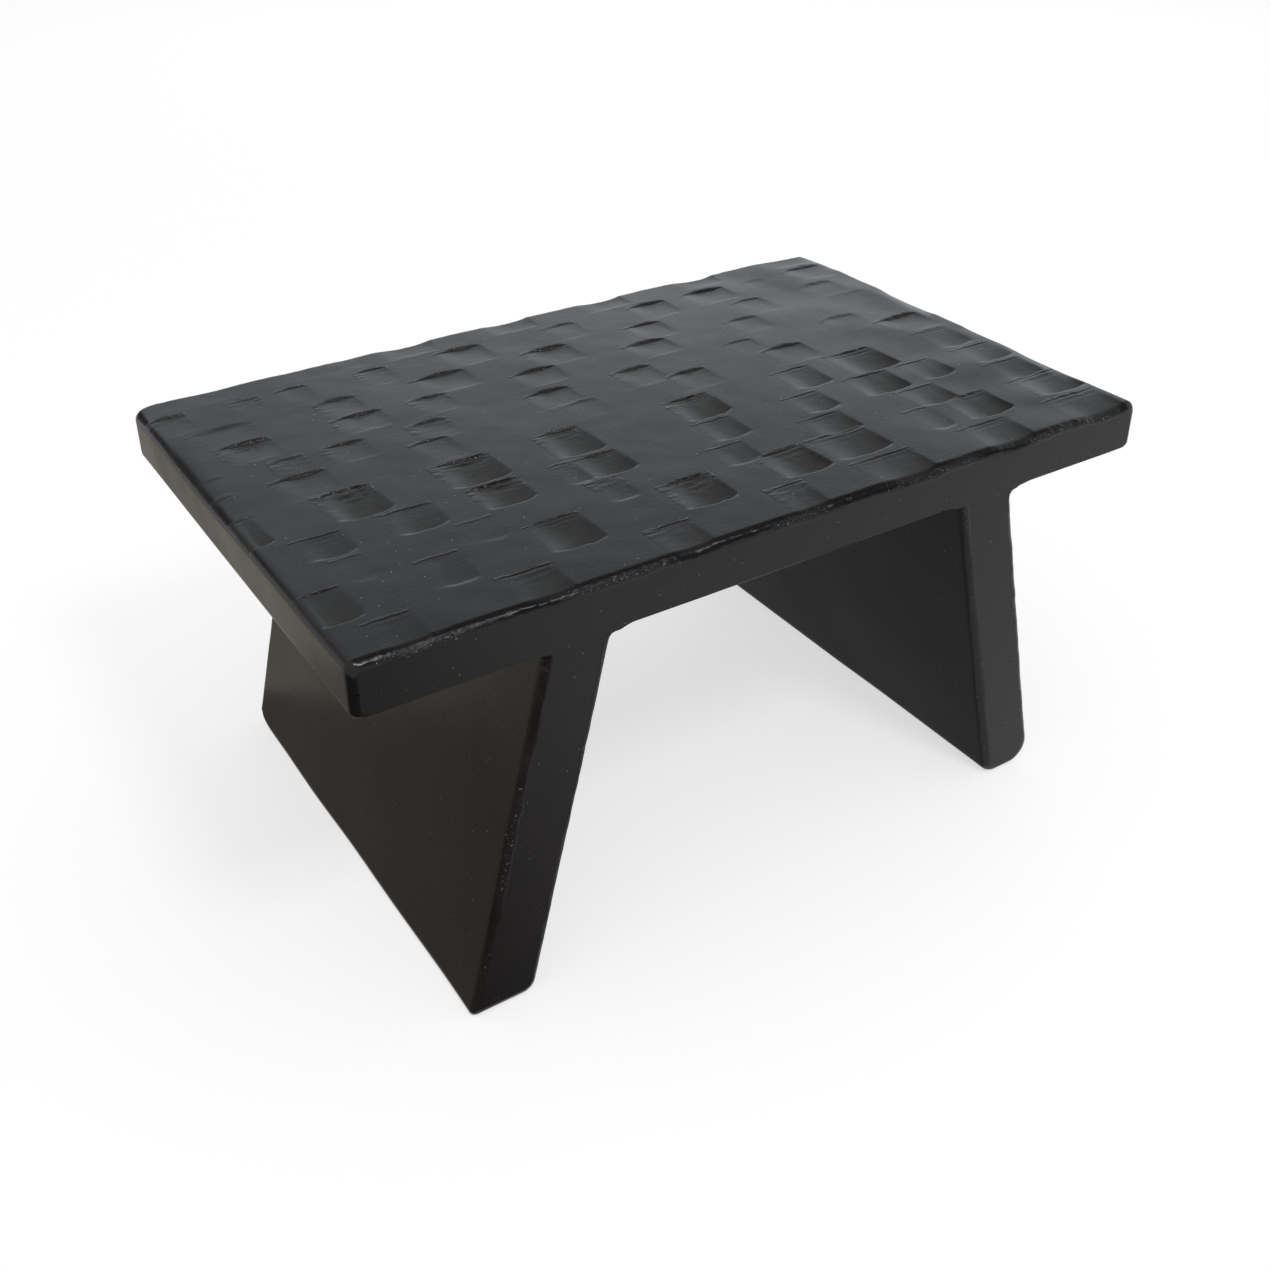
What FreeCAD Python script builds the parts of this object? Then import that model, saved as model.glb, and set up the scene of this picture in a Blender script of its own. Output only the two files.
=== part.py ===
"""Low wooden stool: a gouge-carved seat on two splayed plank legs.

The seat and both legs are panels glued up from narrow boards. Blind dowels hold the legs under the seat.
Frame: millimetres, X along the seat, front at -Y, Z up, origin on the floor under the seat's middle.
"""
import FreeCAD, Part
import Sketcher
import math
import os

doc = FreeCAD.newDocument("carved_stool")

# Driving sizes, in millimetres, degrees and counts
SIZES = {
    "seat_length": 420,
    "seat_depth": 266,
    "seat_height": 205,
    "seat_thickness": 26,
    "leg_thickness": 31.3,
    "leg_splay": 13.8,
    "leg_overhang": 82,
    "board_count": 4,
    "edge_round": 4,
    "dowel_diameter": 10,
    "dowel_length": 45,
    "dowel_in_seat": 15,
    "dowel_clearance": 0.1,
    "dowel_end_room": 1,
    "gouge_radius": 30,
    "gouge_tilt": 3.5,
    "cut_length": 25,
    "back_row_start": 20,
    "front_row_start": 28,
    "edge_overrun": 4,
}

# The carving, row by row from each long edge to the middle: the place of each cut, in percent of half the
# seat length from the middle, and its width in millimetres at the deep end. The gouge was driven outwards
# from the middle, so cuts end deep towards the back in the back rows and the front in the front rows.
BACK_ROWS = [
    [(-95, 15), (-82, 18), (-61, 14), (-46, 13), (-30, 25), (-1, 24), (28, 22), (59, 20), (90, 26)],
    [(-95, 20), (-77, 14), (-64, 12), (-44, 17), (-20, 24), (10, 18), (38, 23), (56, 26), (73, 14), (91, 21)],
    [(-85, 16), (-58, 20), (-31, 26), (-1, 25), (29, 20), (62, 18), (86, 23)],
    [(-84, 24), (-57, 23), (-39, 20), (-10, 24), (22, 24), (53, 19), (92, 14)],
    [(-79, 13), (-66, 19), (-45, 19), (-13, 24), (10, 21), (43, 17), (75, 20)],
    [(-80, 22), (-49, 18), (-10, 16), (21, 21), (50, 23), (88, 25)],
]
FRONT_ROWS = [
    [(-87, 17), (-58, 21), (-26, 20), (4, 17), (31, 26), (61, 23), (89, 26)],
    [(-95, 20), (-70, 17), (-43, 22), (-12, 24), (14, 24), (30, 26), (53, 13), (67, 26), (91, 26)],
    [(-85, 13), (-26, 15), (5, 18), (33, 22), (62, 22), (91, 23)],
    [(-86, 20), (-67, 21), (-47, 21), (-30, 13), (-21, 22), (10, 20), (36, 21), (56, 24), (72, 20), (91, 21)],
    [(-99, 18), (-74, 23), (-47, 25), (-23, 23), (12, 24), (43, 21), (63, 26), (90, 21)],
]

sheet = doc.addObject("Spreadsheet::Sheet", "Sizes")
for row, (alias, value) in enumerate(SIZES.items(), start=1):
    sheet.set(f"A{row}", alias)
    sheet.set(f"B{row}", str(value))
    sheet.setAlias(f"B{row}", alias)
doc.recompute()

# Lengths and places that several pieces share, worked out from the sheet
BOARD_WIDTH = "Sizes.seat_depth / Sizes.board_count"
UNDERSIDE = "(Sizes.seat_height - Sizes.seat_thickness)"
LEG_WIDTH = "Sizes.leg_thickness / cos(Sizes.leg_splay)"
LEG_OUTSIDE = "(Sizes.seat_length / 2 - Sizes.leg_overhang)"
LEG_MIDDLE = f"({LEG_OUTSIDE} - {LEG_WIDTH} / 2)"
DOWEL_IN_LEG = "(Sizes.dowel_length - Sizes.dowel_in_seat)"
INNER_ROWS = len(BACK_ROWS[1:] + FRONT_ROWS[1:])
ROW_PITCH = f"(Sizes.seat_depth - Sizes.back_row_start - Sizes.front_row_start) / {INNER_ROWS}"

BOARDS = range(1, round(sheet.board_count) + 1)
LEFT, RIGHT = -1, 1
ORIGIN = (-1, 1)
HORIZONTAL_AXIS, VERTICAL_AXIS = -1, -2
X_WAY = FreeCAD.Vector(1, 0, 0)
Y_WAY = FreeCAD.Vector(0, 1, 0)
Z_WAY = FreeCAD.Vector(0, 0, 1)
QUARTER_TURN = 90
TOUCH = 1e-4


def board_centre(board):
    """Place across the stool of a board's middle. Boards are counted from the front."""
    return f"({BOARD_WIDTH} * {board - 0.5} - Sizes.seat_depth / 2)"


def size_of(expression):
    """The number that an expression on the sheet stands for."""
    return float(sheet.evalExpression(expression))


def new_body(name):
    body = doc.addObject("PartDesign::Body", name)
    body.Label = name
    return body


def new_sketch(body, role):
    sketch = body.newObject("Sketcher::SketchObject", f"{body.Name}_outline")
    plane = next(plane for plane in body.Origin.OriginFeatures if plane.Role == role)
    sketch.AttachmentSupport = [(plane, "")]
    sketch.MapMode = "FlatFace"
    return sketch


def draw_outline(sketch, corners):
    """A closed outline of straight lines: line n runs from corner n to the next one."""
    points = [FreeCAD.Vector(x, y, 0) for x, y in corners]
    following = points[1:] + points[:1]
    for start, end in zip(points, following):
        sketch.addGeometry(Part.LineSegment(start, end), False)
    for line in range(len(points)):
        sketch.addConstraint(Sketcher.Constraint("Coincident", line, 2, (line + 1) % len(points), 1))


def add_size(sketch, name, kind, start, end, expression):
    """A named distance between two points of the sketch, tied to the sheet."""
    gap = sketch.getPoint(*end) - sketch.getPoint(*start)
    value = gap.x if kind == "DistanceX" else gap.y
    index = sketch.addConstraint(Sketcher.Constraint(kind, *start, *end, value))
    sketch.renameConstraint(index, name)
    sketch.setExpression(f"Constraints.{name}", expression)


def pad_board(body, sketch):
    """The board's outline, made as deep as one board is wide."""
    pad = body.newObject("PartDesign::Pad", f"{body.Name}_blank")
    pad.Profile = sketch
    pad.SideType = "Symmetric"
    pad.setExpression("Length", BOARD_WIDTH)
    doc.recompute()
    return pad


def edges_that(shape, test):
    return [f"Edge{number}" for number, edge in enumerate(shape.Edges, start=1) if test(edge)]


def round_edges(body, base, names):
    fillet = body.newObject("PartDesign::Fillet", f"{body.Name}_rounded")
    fillet.Base = (base, names)
    fillet.setExpression("Radius", "Sizes.edge_round")


def on_outside(board, edge):
    """True for an edge on the stool's front or back face, where the front or back board shows."""
    half = size_of(BOARD_WIDTH) / 2
    middle = edge.CenterOfMass
    at_front = board == BOARDS[0] and abs(middle.y + half) < TOUCH
    at_back = board == BOARDS[-1] and abs(middle.y - half) < TOUCH
    return at_front or at_back


def runs_across(edge):
    """True for an edge along the depth of the stool."""
    return abs(edge.tangentAt(edge.FirstParameter).y) > 1 - TOUCH


def is_flush_with_legs(edge):
    """True for a long edge of the seat's underside, where the faces of the legs carry on from the seat's."""
    return not runs_across(edge) and abs(edge.CenterOfMass.z - size_of(UNDERSIDE)) < TOUCH


def drill_dowel_hole(body, side):
    """A blind hole along the slope of a leg, with a little room past both ends of its dowel."""
    hole = body.newObject("PartDesign::SubtractiveCylinder", f"{body.Name}_hole")
    hole.setExpression("Radius", "Sizes.dowel_diameter / 2 + Sizes.dowel_clearance")
    hole.setExpression("Height", "Sizes.dowel_length + 2 * Sizes.dowel_end_room")
    set_on_leg_line(hole, side, f"({DOWEL_IN_LEG} + Sizes.dowel_end_room)", "0")


def set_on_leg_line(thing, side, below, across):
    """Stands a round piece on the middle plane of a leg, starting so far below the seat."""
    thing.Placement = FreeCAD.Placement(FreeCAD.Vector(), FreeCAD.Rotation(Y_WAY, QUARTER_TURN))
    thing.setExpression("Placement.Base.x", f"{side} * ({LEG_MIDDLE} + {below} * sin(Sizes.leg_splay))")
    thing.setExpression("Placement.Base.y", across)
    thing.setExpression("Placement.Base.z", f"{UNDERSIDE} - {below} * cos(Sizes.leg_splay)")
    thing.setExpression("Placement.Rotation.Angle", f"{-side} * Sizes.leg_splay")


def distance_from_edge(heading, row):
    """How far in from its long edge the cuts of a row end. The first row runs off the edge."""
    if row == 0:
        return "(-Sizes.edge_overrun)"
    return f"(Sizes.{heading}_row_start + {ROW_PITCH} * {row - 1})"


def seat_cuts():
    """Every gouge cut as its heading, its row, its place along the seat and its width."""
    for heading, rows in (("back", BACK_ROWS), ("front", FRONT_ROWS)):
        for row, cuts in enumerate(rows):
            for percent, width in cuts:
                yield heading, row, percent, width


def carve(body, board):
    """Drives a gouge of round section into the top, along the depth of the seat and gently downwards."""
    half = size_of(BOARD_WIDTH) / 2
    for heading, row, percent, width in seat_cuts():
        way = 1 if heading == "back" else -1
        from_edge = distance_from_edge(heading, row)
        axis_height = f"sqrt(Sizes.gouge_radius ^ 2 - {width / 2} ^ 2)"
        deep_end = f"{way} * (Sizes.seat_depth / 2 - {from_edge}) - {board_centre(board)}"
        ramp_length = f"(Sizes.gouge_radius - {axis_height}) / tan(Sizes.gouge_tilt)"
        cut_length = min(sheet.cut_length, size_of(ramp_length))
        reach = sorted((size_of(deep_end), size_of(deep_end) - way * cut_length))
        if reach[0] > half - TOUCH or reach[1] < TOUCH - half:
            continue
        cut = body.newObject("PartDesign::SubtractiveCylinder", f"{body.Name}_cut")
        cut.Refine = False
        cut.setExpression("Radius", "Sizes.gouge_radius")
        cut.setExpression("Height", "Sizes.cut_length")
        cut.Placement = FreeCAD.Placement(FreeCAD.Vector(), FreeCAD.Rotation(X_WAY, QUARTER_TURN))
        cut.setExpression("Placement.Rotation.Angle", f"{way} * ({QUARTER_TURN} - Sizes.gouge_tilt)")
        cut.setExpression("Placement.Base.x", f"Sizes.seat_length / 2 * {percent} / 100")
        lean = f"{way} * Sizes.gouge_radius * sin(Sizes.gouge_tilt)"
        drop = "Sizes.gouge_radius * (1 - cos(Sizes.gouge_tilt))"
        cut.setExpression("Placement.Base.y", f"{deep_end} + {lean}")
        cut.setExpression("Placement.Base.z", f"Sizes.seat_height + {axis_height} - {drop}")


def make_seat_board(board):
    body = new_body(f"seat_board_{board}")
    body.setExpression("Placement.Base.y", board_centre(board))
    half, top = sheet.seat_length / 2, sheet.seat_height
    bottom = size_of(UNDERSIDE)
    sketch = new_sketch(body, "XZ_Plane")
    draw_outline(sketch, [(-half, bottom), (half, bottom), (half, top), (-half, top)])
    sketch.addConstraint(Sketcher.Constraint("Symmetric", 0, 1, 0, 2, VERTICAL_AXIS))
    for line, way in ((1, "Vertical"), (2, "Horizontal"), (3, "Vertical")):
        sketch.addConstraint(Sketcher.Constraint(way, line))
    add_size(sketch, "length", "DistanceX", (0, 1), (0, 2), "Sizes.seat_length")
    add_size(sketch, "thickness", "DistanceY", (1, 1), (1, 2), "Sizes.seat_thickness")
    add_size(sketch, "height", "DistanceY", ORIGIN, (2, 1), "Sizes.seat_height")
    blank = pad_board(body, sketch)
    shown = edges_that(
        blank.Shape,
        lambda edge: runs_across(edge) or (on_outside(board, edge) and not is_flush_with_legs(edge)),
    )
    round_edges(body, blank, shown)
    drill_dowel_hole(body, LEFT)
    drill_dowel_hole(body, RIGHT)
    carve(body, board)
    return body


def make_right_leg_board(board):
    body = new_body(f"right_leg_board_{board}")
    body.setExpression("Placement.Base.y", board_centre(board))
    top, outside, width = size_of(UNDERSIDE), size_of(LEG_OUTSIDE), size_of(LEG_WIDTH)
    foot = outside + top * math.tan(math.radians(sheet.leg_splay))
    sketch = new_sketch(body, "XZ_Plane")
    draw_outline(sketch, [(foot - width, 0), (foot, 0), (outside, top), (outside - width, top)])
    sketch.addConstraint(Sketcher.Constraint("PointOnObject", 0, 1, HORIZONTAL_AXIS))
    sketch.addConstraint(Sketcher.Constraint("Horizontal", 0))
    sketch.addConstraint(Sketcher.Constraint("Horizontal", 2))
    sketch.addConstraint(Sketcher.Constraint("Parallel", 1, 3))
    add_size(sketch, "height", "DistanceY", ORIGIN, (2, 1), UNDERSIDE)
    add_size(sketch, "outside", "DistanceX", ORIGIN, (2, 1), LEG_OUTSIDE)
    add_size(sketch, "width", "DistanceX", (2, 2), (2, 1), LEG_WIDTH)
    add_size(sketch, "spread", "DistanceX", (1, 2), (1, 1), f"{UNDERSIDE} * tan(Sizes.leg_splay)")
    blank = pad_board(body, sketch)
    below_seat = top - TOUCH
    shown = edges_that(
        blank.Shape,
        lambda edge: edge.CenterOfMass.z < below_seat and (runs_across(edge) or on_outside(board, edge)),
    )
    round_edges(body, blank, shown)
    drill_dowel_hole(body, RIGHT)
    return body


def make_right_leg_dowels():
    """One length of dowel rod in the middle of each leg board, kept together as a set."""
    dowels = []
    for board in BOARDS:
        dowel = new_body(f"right_dowel_{board}")
        sketch = new_sketch(dowel, "XY_Plane")
        circle = Part.Circle(FreeCAD.Vector(), Z_WAY, sheet.dowel_diameter / 2)
        sketch.addGeometry(circle, False)
        sketch.addConstraint(Sketcher.Constraint("Coincident", 0, 3, *ORIGIN))
        index = sketch.addConstraint(Sketcher.Constraint("Diameter", 0, sheet.dowel_diameter))
        sketch.renameConstraint(index, "diameter")
        sketch.setExpression("Constraints.diameter", "Sizes.dowel_diameter")
        rod = dowel.newObject("PartDesign::Pad", f"{dowel.Name}_rod")
        rod.Profile = sketch
        rod.setExpression("Length", "Sizes.dowel_length")
        set_on_leg_line(dowel, RIGHT, DOWEL_IN_LEG, board_centre(board))
        dowels.append(dowel)
    group = doc.addObject("Part::Compound", "right_leg_dowels")
    group.Links = dowels
    return group


def mirror_to_left(piece):
    twin = doc.addObject("Part::Mirroring", piece.Label.replace("right", "left"))
    twin.Source = piece
    twin.Normal = X_WAY
    return twin


seat_boards = [make_seat_board(board) for board in BOARDS]
right_pieces = [make_right_leg_board(board) for board in BOARDS]
right_pieces.append(make_right_leg_dowels())
left_pieces = [mirror_to_left(piece) for piece in right_pieces]
doc.recompute()

# Nothing is written until every feature and every piece is sound, and every hole and cut has taken wood away
for thing in doc.Objects:
    if {"Invalid", "Error"} & set(thing.State):
        raise RuntimeError(f"{thing.Label} did not build: {thing.State}")
    is_cut = thing.TypeId == "PartDesign::SubtractiveCylinder"
    if is_cut and thing.Shape.Volume >= thing.BaseFeature.Shape.Volume:
        raise RuntimeError(f"{thing.Label} cuts nothing")
pieces = seat_boards + right_pieces + left_pieces
for piece in pieces:
    if piece.Shape.isNull() or not piece.Shape.isValid():
        raise RuntimeError(f"{piece.Label} is not a valid solid")

os.makedirs("parts", exist_ok=True)
for piece in pieces:
    piece.Shape.exportStep(f"parts/{piece.Label}.step")
    print(f"{piece.Label}: {len(piece.Shape.Solids)} solid(s), {piece.Shape.Volume / 1000:.1f} cm3")
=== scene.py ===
# %% [markdown]
# # A low stool with a gouge-carved seat
# A thick rectangular seat stands on two plank legs that lean outwards. Seat and legs are flush at the front
# and at the back, and everything is painted satin black. What makes the stool worth a second look is the
# top: rows of short scoops, cut by hand with a wide gouge, each one shallow where the tool went in and steep
# where the chip broke off.
#
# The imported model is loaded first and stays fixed. Every piece below is built around it in the same metres.

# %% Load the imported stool
import math
from collections import namedtuple

import bpy
import numpy as np
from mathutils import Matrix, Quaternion, Vector


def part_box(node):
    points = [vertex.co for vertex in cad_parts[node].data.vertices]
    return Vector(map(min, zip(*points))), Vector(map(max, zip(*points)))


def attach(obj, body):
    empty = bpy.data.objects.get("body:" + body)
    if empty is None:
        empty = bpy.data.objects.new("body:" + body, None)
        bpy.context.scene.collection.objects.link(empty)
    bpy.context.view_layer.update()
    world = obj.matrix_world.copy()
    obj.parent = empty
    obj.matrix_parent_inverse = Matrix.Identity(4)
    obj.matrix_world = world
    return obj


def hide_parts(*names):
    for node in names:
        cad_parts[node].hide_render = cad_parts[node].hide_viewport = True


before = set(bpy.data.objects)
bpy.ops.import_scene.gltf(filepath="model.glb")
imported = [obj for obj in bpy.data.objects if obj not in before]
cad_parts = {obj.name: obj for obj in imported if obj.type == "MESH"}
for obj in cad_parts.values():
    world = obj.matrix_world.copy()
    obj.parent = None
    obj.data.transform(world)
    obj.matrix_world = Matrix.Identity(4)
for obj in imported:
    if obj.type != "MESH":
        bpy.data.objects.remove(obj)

MM = 0.001
scene = bpy.context.scene
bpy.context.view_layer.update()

# %% [markdown]
# ## Where the boards are
# Seat and legs are each glued up from four boards, numbered from the front. The imported model tells where
# every board ends, so the places of the glue lines are read from it, and only the slope and thickness of the
# legs are repeated here. Millimetres are easier to follow for a thing of this size, so the meshes are turned
# to metres only when they are made.

# %% Sizes of the stool, in millimetres
BOARDS = (1, 2, 3, 4)
LEG_SPLAY = math.radians(13.8)
LEG_THICKNESS = 31.3


def box_mm(*nodes):
    corners = np.array([[tuple(corner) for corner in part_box(node)] for node in nodes]) / MM
    return corners[:, 0].min(axis=0), corners[:, 1].max(axis=0)


seat_low, seat_high = box_mm(*[f"seat_board_{n}" for n in BOARDS])
underside, seat_top = seat_low[2], seat_high[2]
half_length, front, back = seat_high[0], seat_low[1], seat_high[1]
glue_lines = [box_mm(f"seat_board_{n}")[1][1] for n in BOARDS[:-1]]
leg_inner_top = box_mm("right_leg_board_1")[0][0]
leg_width = LEG_THICKNESS / math.cos(LEG_SPLAY)
print("Seat:", np.round([2 * half_length, back - front, seat_top - underside], 1))
print("Glue lines at:", np.round(glue_lines, 1))

# %% [markdown]
# ## Uneven by hand
# Nothing planed and painted by hand is perfectly level. A noise texture could push the surface about in a
# modifier, but a height worked out here can be used for the carving, the edges and the legs alike. It is a
# lattice of random numbers with smooth hills between them. The seed fixes the numbers, so that every run
# gives the same stool.

# %% Smooth random heights
LATTICE = 64


def ease(t):
    t = np.clip(t, 0, 1)
    return t * t * (3 - 2 * t)


def hills(x, y, pitch, seed):
    heights = np.random.default_rng(seed).uniform(-1, 1, (LATTICE, LATTICE))
    i, j = np.floor(x / pitch).astype(int), np.floor(y / pitch).astype(int)
    s, t = ease(x / pitch - i), ease(y / pitch - j)
    i, j, right, up = i % LATTICE, j % LATTICE, (i + 1) % LATTICE, (j + 1) % LATTICE
    low = heights[i, j] * (1 - s) + heights[right, j] * s
    high = heights[i, up] * (1 - s) + heights[right, up] * s
    return low * (1 - t) + high * t


places = np.array([0.0, 25.0, 80.0])
print("Hills of 50 mm pitch at three places:", hills(places, np.zeros(3), 50, 1).round(2))

# %% [markdown]
# A layer of unevenness is a height, a pitch and a seed. Waves go up and down, lumps go one way only, and
# patches leave bare places between them. A band is strongest halfway along a slope and nothing at both ends,
# which picks out edges and walls.

# %% Layers of unevenness
Layer = namedtuple("Layer", "height pitch seed")


def waves(layer, x, y):
    return layer.height * hills(x, y, layer.pitch, layer.seed)


def lumps(layer, x, y):
    return (layer.height + waves(layer, x, y)) / 2


def patches(layer, x, y, share):
    return layer.height * np.clip(hills(x, y, layer.pitch, layer.seed) + share, 0, 1)


def band(t):
    return 4 * t * (1 - t)


print("A band along a slope:", [band(t) for t in (0, 0.25, 0.5, 0.75, 1)])

# %% [markdown]
# ## The gouge cuts
# A gouge is a chisel with a hollow blade. Driven forwards at a low angle it lifts a chip that gets wider and
# deeper, until a stop cut breaks it off and leaves a small steep wall. In the back half of the seat the cuts
# run towards the back edge, in the front half towards the front edge, and neighbouring rows are staggered.
# Each row below gives where its cuts begin and end, then one entry for each cut: its middle, its width at the
# deep end and how boldly it was struck. The list was read off the seat. Boolean scoops would give hard
# rims, so the cuts are heights.

# %% Rows of cuts, from the back edge to the front edge
DEEP, BOLD, FIRM, LIGHT, FAINT = 1.5, 1.0, 0.75, 0.5, 0.3
CUT_ROWS = (
    (115, 142, ((-200, 18, LIGHT), (-172, 32, LIGHT), (-127, 18, LIGHT), (-97, 14, FIRM), (-63, 29, DEEP),
                (-2, 27, DEEP), (59, 27, DEEP), (124, 27, DEEP), (191, 38, DEEP))),
    (88, 113, ((-199, 19, BOLD), (-160, 15, FIRM), (-135, 15, BOLD), (-92, 17, BOLD), (-41, 24, BOLD),
               (21, 18, FIRM), (79, 23, BOLD), (118, 27, BOLD), (153, 14, LIGHT), (191, 27, FIRM))),
    (63, 88, ((-180, 30, LIGHT), (-122, 20, BOLD), (-65, 27, BOLD), (-2, 25, BOLD), (60, 20, BOLD),
              (131, 18, FIRM), (180, 23, LIGHT))),
    (43, 66, ((-176, 24, BOLD), (-119, 24, BOLD), (-82, 19, BOLD), (-21, 24, BOLD), (47, 24, BOLD),
              (111, 20, FIRM), (192, 12, LIGHT))),
    (16, 40, ((-203, 13, LIGHT), (-166, 16, FIRM), (-138, 20, BOLD), (-95, 19, BOLD), (-28, 23, BOLD),
              (22, 21, BOLD), (90, 17, FIRM), (158, 22, LIGHT))),
    (-4, 21, ((-205, 12, LIGHT), (-167, 24, BOLD), (-103, 18, BOLD), (-21, 18, LIGHT), (44, 21, BOLD),
              (106, 23, BOLD), (186, 27, BOLD))),
    (-6, -33, ((-207, 18, DEEP), (-155, 24, BOLD), (-99, 27, BOLD), (-47, 23, BOLD), (25, 24, BOLD),
               (90, 21, FIRM), (132, 28, BOLD), (188, 21, LIGHT))),
    (-35, -58, ((-181, 20, FIRM), (-140, 22, FIRM), (-98, 23, BOLD), (-63, 12, FIRM), (-45, 23, BOLD),
                (21, 19, FIRM), (76, 19, FIRM), (118, 26, BOLD), (152, 20, FIRM), (191, 24, LIGHT))),
    (-59, -82, ((-178, 13, FAINT), (-120, 15, FAINT), (-55, 15, LIGHT), (10, 18, FIRM), (68, 22, FIRM),
                (130, 22, FIRM), (190, 22, LIGHT))),
    (-79, -105, ((-199, 20, BOLD), (-148, 18, LIGHT), (-92, 24, BOLD), (-25, 25, BOLD), (29, 25, BOLD),
                 (63, 30, FIRM), (111, 14, LIGHT), (143, 26, BOLD), (192, 29, FIRM))),
    (-108, -142, ((-183, 18, FIRM), (-122, 22, FIRM), (-54, 20, FIRM), (8, 18, FIRM), (65, 30, FIRM),
                  (128, 27, FIRM), (187, 31, FIRM))),
)
print(len(CUT_ROWS), "rows,", sum(len(cuts) for _, _, cuts in CUT_ROWS), "cuts")

# %% [markdown]
# ## How deep a cut is
# Across a cut the floor is a shallow hollow, so the deeper the blade goes the wider the cut gets. The blade
# was held a little rolled over: the left side fades out softly and the right side is crisp. A soft step
# instead of a sharp one stands for the paint, and it also keeps torn places from getting too deep.

# %% Floor of a cut, seen along it
GOUGE_RADIUS, DEEPEST = 33.0, 2.3
SOFT_SPREAD, CRISP_POWER, OUTSIDE = 1.3, 3.0, -9.0
RIM_SOFTNESS, SOFT_LIMIT = 0.05, 50.0


def full_depth(width):
    return min(width**2 / (8 * GOUGE_RADIUS), DEEPEST)


def across_cut(across):
    fade = 1 - (across / SOFT_SPREAD) ** 2
    return np.where(across < 0, fade * abs(fade), 1 - abs(across) ** CRISP_POWER)


def soften(depth):
    return RIM_SOFTNESS * np.logaddexp(0, np.clip(depth / RIM_SOFTNESS, -SOFT_LIMIT, SOFT_LIMIT))


print("A cut 20 mm wide is", round(full_depth(20), 2), "mm deep")

# %% [markdown]
# Along a cut the two halves of the seat differ: cuts towards the back start from almost nothing and end in a
# softer wall, cuts towards the front go in at once and end in a steep one. Shy cuts have slack ends. The end
# that lies towards the back of the seat is the untidy one: there the blade skipped and left one or two small
# ridges, the step is rough, and in the left part of the seat, where the grain is bad, the wood is torn. Each
# cut also has its own luck: how far it turns, how late it starts, how strongly and how often it skips, and
# how much it tears.

# %% One cut
Stroke = namedtuple("Stroke", "share entry entry_ramp wall_ramp")
TO_BACK = Stroke(share=0.6, entry=0.06, entry_ramp=2.5, wall_ramp=3.0)
TO_FRONT = Stroke(share=0.95, entry=0.2, entry_ramp=1.0, wall_ramp=1.4)
SHY_SLACK = 2.0
WALL_BOW, BOW_LIMIT = 1.2, 1.5
SKIP_HEIGHT, SKIP_REACH = 0.12, 3.2
TEAR_DEPTH, TEAR_REACH, TEAR_FORCE = 0.4, 8.0, 1.2
SOUND_FROM, SOUND_FADE = 100.0, 120.0
WALL_ROUGHNESS = 0.8


def bad_grain(x):
    return ease((SOUND_FROM - x) / SOUND_FADE)


def one_cut(x, y, begin, end, cut, luck, sway, splinters):
    middle, width, force = cut
    turn, late, skips, skip_pitch, tears = luck
    heading, length = np.sign(end - begin), abs(end - begin)
    stroke = TO_BACK if heading > 0 else TO_FRONT
    along = (y - begin) * heading - late + sway
    past = np.clip(along if heading < 0 else length - along, 0, None)
    across = (x - middle - turn * (y - end)) / (width / 2)
    profile = across_cut(across)
    full = full_depth(width) * force * stroke.share
    floor = full * (stroke.entry + (1 - stroke.entry) * np.clip(along / length, 0, 1))
    skip = skips * np.sin(past * math.tau / skip_pitch) * np.exp(-past / SKIP_REACH)
    tearing = max(tears, 0) * bad_grain(middle) * min(TEAR_FORCE * force, 1)
    rough = tearing * splinters * np.exp(-past / TEAR_REACH)
    hollow = floor + full * (SKIP_HEIGHT * skip + TEAR_DEPTH * rough)
    slack = 1 + SHY_SLACK * max(1 - force, 0)
    to_wall = length - late - along - WALL_BOW * np.minimum(across**2, BOW_LIMIT)
    reach = ease(along / (stroke.entry_ramp * slack)) * ease(to_wall / (stroke.wall_ramp * slack))
    wall = WALL_ROUGHNESS * band(reach) * np.exp(-past / SKIP_REACH) / slack
    return soften(hollow * np.maximum(profile, OUTSIDE)) * reach, (rough * reach + wall) * (profile > 0)


print("Bad grain from left to right:", bad_grain(np.array([-200.0, 0.0, 50.0, 200.0])).round(2))

# %% All cuts
LUCK_SEED = 11
Luck = namedtuple("Luck", "turn late skips skip_pitch tears")
LUCK_LOW = Luck(turn=-0.05, late=-1.5, skips=0.0, skip_pitch=3.0, tears=-0.3)
LUCK_HIGH = Luck(turn=0.05, late=1.5, skips=1.4, skip_pitch=5.0, tears=1.0)
SWAY, SPLINTERS = Layer(0.5, 3.5, 14), Layer(1.0, 1.6, 12)
SPLINTER_SHARE, SPLINTER_STRETCH = 0.4, 3.0


def carving(x, y):
    dice = np.random.default_rng(LUCK_SEED)
    sway = waves(SWAY, x, y)
    splinters = np.maximum(waves(SPLINTERS, x / SPLINTER_STRETCH, y) + SPLINTER_SHARE, 0)
    depth, torn = np.zeros_like(x), np.zeros_like(x)
    for begin, end, cuts in CUT_ROWS:
        for cut in cuts:
            luck = dice.uniform(LUCK_LOW, LUCK_HIGH)
            cut_depth, cut_torn = one_cut(x, y, begin, end, cut, luck, sway, splinters)
            depth, torn = np.maximum(depth, cut_depth), np.maximum(torn, cut_torn)
    return depth, torn


print("Depth near the end of a bold cut:", carving(np.array([-45.0]), np.array([-55.0]))[0].round(2), "mm")

# %% [markdown]
# ## A panel as a swept outline
# A maker glues up a panel first, then rounds and carves it as one. The mesh follows that order. The panel's
# outline, seen from the front, is a closed line of points. It is repeated row after row from front to back,
# and in the first and last few rows it shrinks inwards, which rounds the edges all the way round. Each point
# knows its own way inwards, so the lower edge can stay square where the legs meet it flush.

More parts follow.
